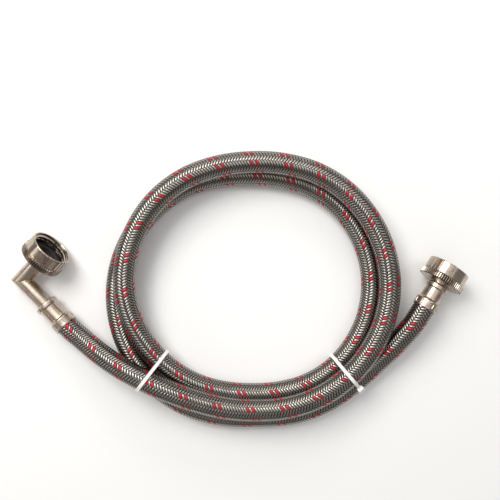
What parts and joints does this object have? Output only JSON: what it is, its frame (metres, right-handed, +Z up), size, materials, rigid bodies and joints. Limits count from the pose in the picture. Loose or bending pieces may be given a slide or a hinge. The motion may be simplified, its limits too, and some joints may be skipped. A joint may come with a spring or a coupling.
{
  "type": "braided supply line",
  "caption": "Coiled steel-braided rubber fill hose with a swivel hose nut on a mitred elbow at one end and on a straight stem at the other.",
  "frame": {"origin": "on the floor under the middle of the whole part's bounding box", "axes": "+X along the longest way across the coil, from the elbow end to the straight end; +Y away from the side where the hose crosses itself; +Z up from the floor"},
  "size_m": [0.3245, 0.1962, 0.0353],
  "materials": {
    "steel_braid": "bright woven stainless steel wire",
    "red_tracer": "glossy red tracer strands in the braid",
    "black_rubber": "matt black rubber",
    "plated_fitting": "nickel plated, satin gloss",
    "plated_nut": "nickel plated, serrated, satin gloss",
    "washer_rubber": "smooth black rubber",
    "white_nylon": "natural white nylon"
  },
  "bodies": {
    "hose": {"braid_sleeve": "steel_braid", "inner_tube": "black_rubber", "elbow_body": "plated_fitting", "elbow_ferrule": "plated_fitting", "elbow_washer": "washer_rubber", "straight_stem": "plated_fitting", "straight_ferrule": "plated_fitting", "straight_washer": "washer_rubber", "left_tie": "white_nylon", "right_tie": "white_nylon"},
    "elbow_nut": {"elbow_swivel_nut": "plated_nut"},
    "straight_nut": {"straight_swivel_nut": "plated_nut"}
  },
  "joints": [
    {"name": "elbow_nut_spin", "type": "hinge", "parent": "hose", "child": "elbow_nut", "pos_m": [-0.13988, 0.02182, 0.01536], "axis": [0.6948, 0.671, 0.2588], "continuous": true},
    {"name": "straight_nut_spin", "type": "hinge", "parent": "hose", "child": "straight_nut", "pos_m": [0.14247, 0.0058, 0.01613], "axis": [0.541, 0.8394, -0.0523], "continuous": true}
  ]
}
